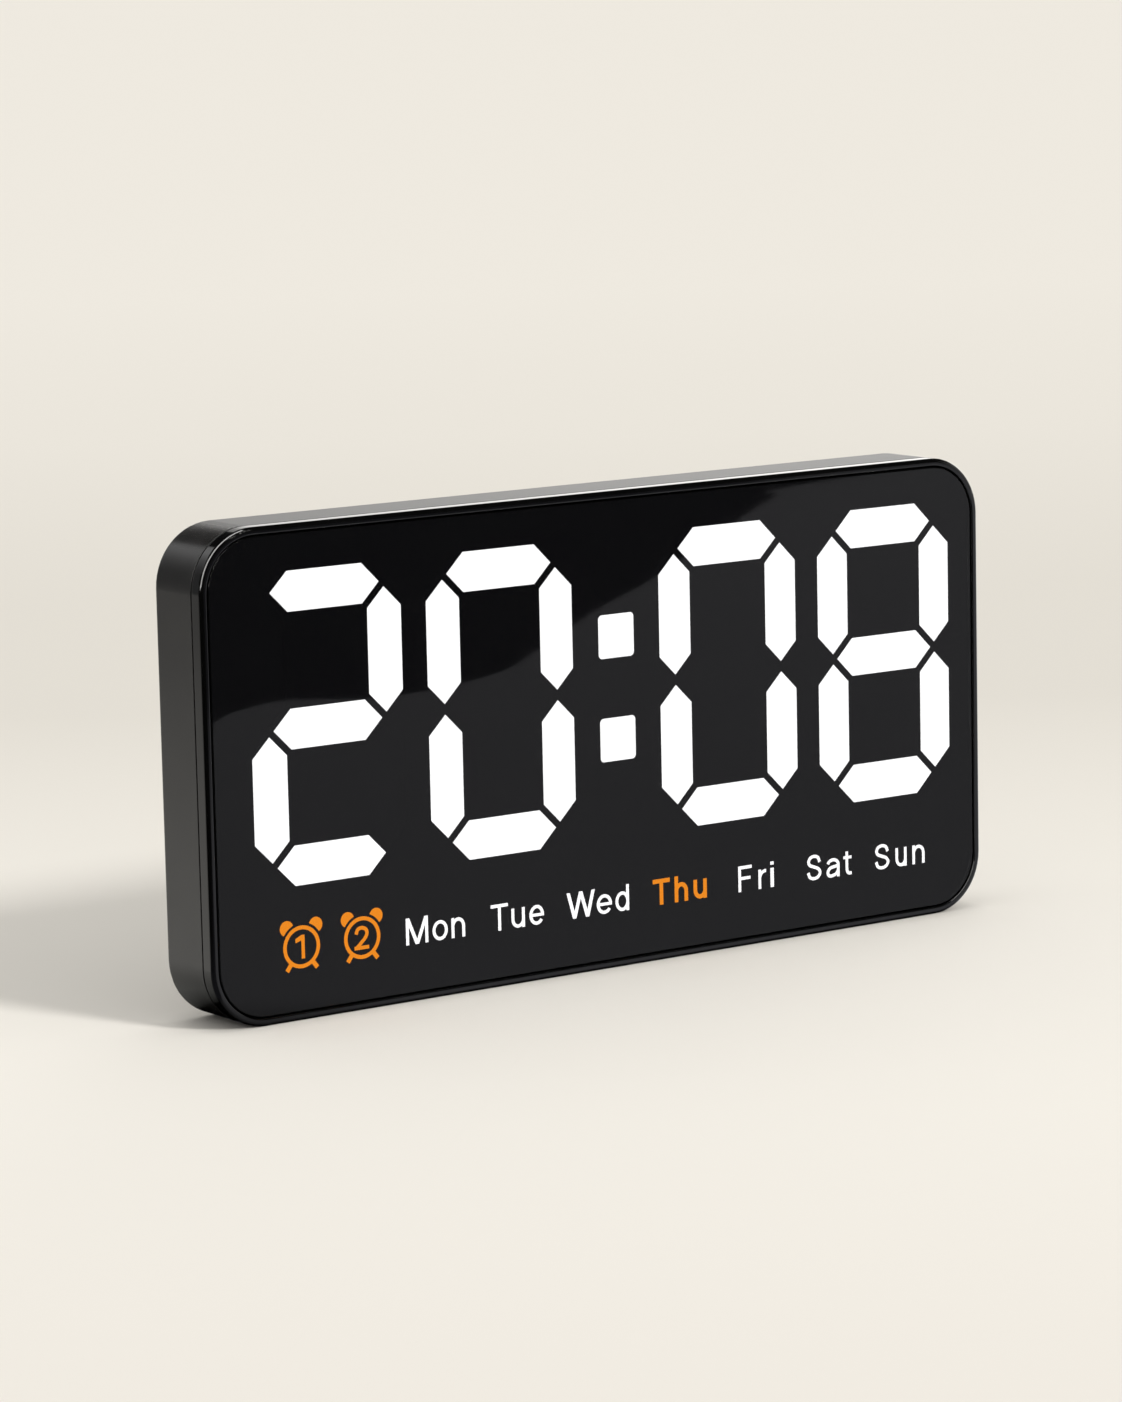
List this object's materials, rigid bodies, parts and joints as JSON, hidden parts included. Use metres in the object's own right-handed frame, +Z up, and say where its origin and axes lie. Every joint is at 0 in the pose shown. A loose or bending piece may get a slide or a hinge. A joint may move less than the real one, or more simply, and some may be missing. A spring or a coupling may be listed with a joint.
{
  "type": "digital wall clock",
  "caption": "Slim rounded black digital wall clock: smoked lens over lit seven-segment digits, weekday row and alarm marks, rear buttons, fold-out stand and wall keyholes.",
  "frame": {"origin": "on the surface the clock stands on, under the middle of its case", "axes": "+X along the case to the right of someone reading the display, +Y from the display to the back, +Z up"},
  "size_m": [0.25, 0.022, 0.1265],
  "materials": {
    "frame_black": "black, high gloss",
    "case_black": "black, fine satin texture",
    "smoked_lens": "smoked clear acrylic, polished",
    "tape_black": "black foam tape",
    "mask_black": "matt black film",
    "reflector_white": "white, matt",
    "lit_white": "translucent white, lit",
    "lit_orange": "translucent, lit orange",
    "unlit_grey": "translucent grey, not lit",
    "board_green": "green solder mask",
    "led_pale": "pale yellow phosphor",
    "chip_black": "black moulding compound",
    "steel": "plated steel",
    "brass": "bright brass",
    "aluminium": "bright can",
    "button_grey": "dark grey, satin",
    "rubber": "black, matt"
  },
  "bodies": {
    "case": {"front_bezel": "frame_black", "display_lens": "smoked_lens", "lens_tape": "tape_black", "legend_mask": "mask_black", "light_box": "reflector_white", "hour_tens_segments": "lit_white", "hour_ones_segments": "lit_white", "minute_tens_segments": "lit_white", "minute_ones_segments": "lit_white", "unlit_segments": "unlit_grey", "colon_dots": "lit_white", "weekday_diffusers": "lit_white", "alarm_diffusers": "lit_orange", "display_board": "board_green", "led_chips": "led_pale", "display_screws": "steel", "driver_chip": "chip_black", "chip_resistors": "chip_black", "board_header": "chip_black", "board_socket": "chip_black", "header_pins": "brass", "control_board": "board_green", "control_screws": "steel", "controller_chip": "chip_black", "clock_crystal": "steel", "smoothing_capacitor": "aluminium", "buzzer": "chip_black", "button_switches": "chip_black", "cell_holder": "chip_black", "cell_contacts": "steel", "backup_cell": "steel", "dc_jack": "chip_black", "jack_pin": "brass", "rear_case": "case_black", "case_screws": "steel", "stand_pin": "steel"},
    "battery_cover": {"battery_cover": "case_black"},
    "stand": {"stand_leg": "case_black", "stand_pad": "rubber"},
    "set_key": {"set_button": "button_grey", "set_plunger": "button_grey"},
    "alarm_key": {"alarm_button": "button_grey", "alarm_plunger": "button_grey"},
    "up_key": {"up_button": "button_grey", "up_plunger": "button_grey"},
    "down_key": {"down_button": "button_grey", "down_plunger": "button_grey"},
    "light_key": {"light_button": "button_grey", "light_plunger": "button_grey"}
  },
  "joints": [
    {"name": "stand_hinge", "type": "hinge", "parent": "case", "child": "stand", "pos_m": [0, 0.0087, 0.0655], "axis": [1, 0, 0], "range_deg": [0, 40]},
    {"name": "battery_cover_twist", "type": "hinge", "parent": "case", "child": "battery_cover", "pos_m": [0.036, 0.009, 0.088], "axis": [0, 1, 0], "range_deg": [0, 45]},
    {"name": "set_press", "type": "slide", "parent": "case", "child": "set_key", "axis": [0, -1, 0], "range_m": [0, 0.0005], "stiffness_N_per_m": 3000},
    {"name": "alarm_press", "type": "slide", "parent": "case", "child": "alarm_key", "axis": [0, -1, 0], "range_m": [0, 0.0005], "stiffness_N_per_m": 3000},
    {"name": "up_press", "type": "slide", "parent": "case", "child": "up_key", "axis": [0, -1, 0], "range_m": [0, 0.0005], "stiffness_N_per_m": 3000},
    {"name": "down_press", "type": "slide", "parent": "case", "child": "down_key", "axis": [0, -1, 0], "range_m": [0, 0.0005], "stiffness_N_per_m": 3000},
    {"name": "light_press", "type": "slide", "parent": "case", "child": "light_key", "axis": [0, -1, 0], "range_m": [0, 0.0005], "stiffness_N_per_m": 3000}
  ]
}
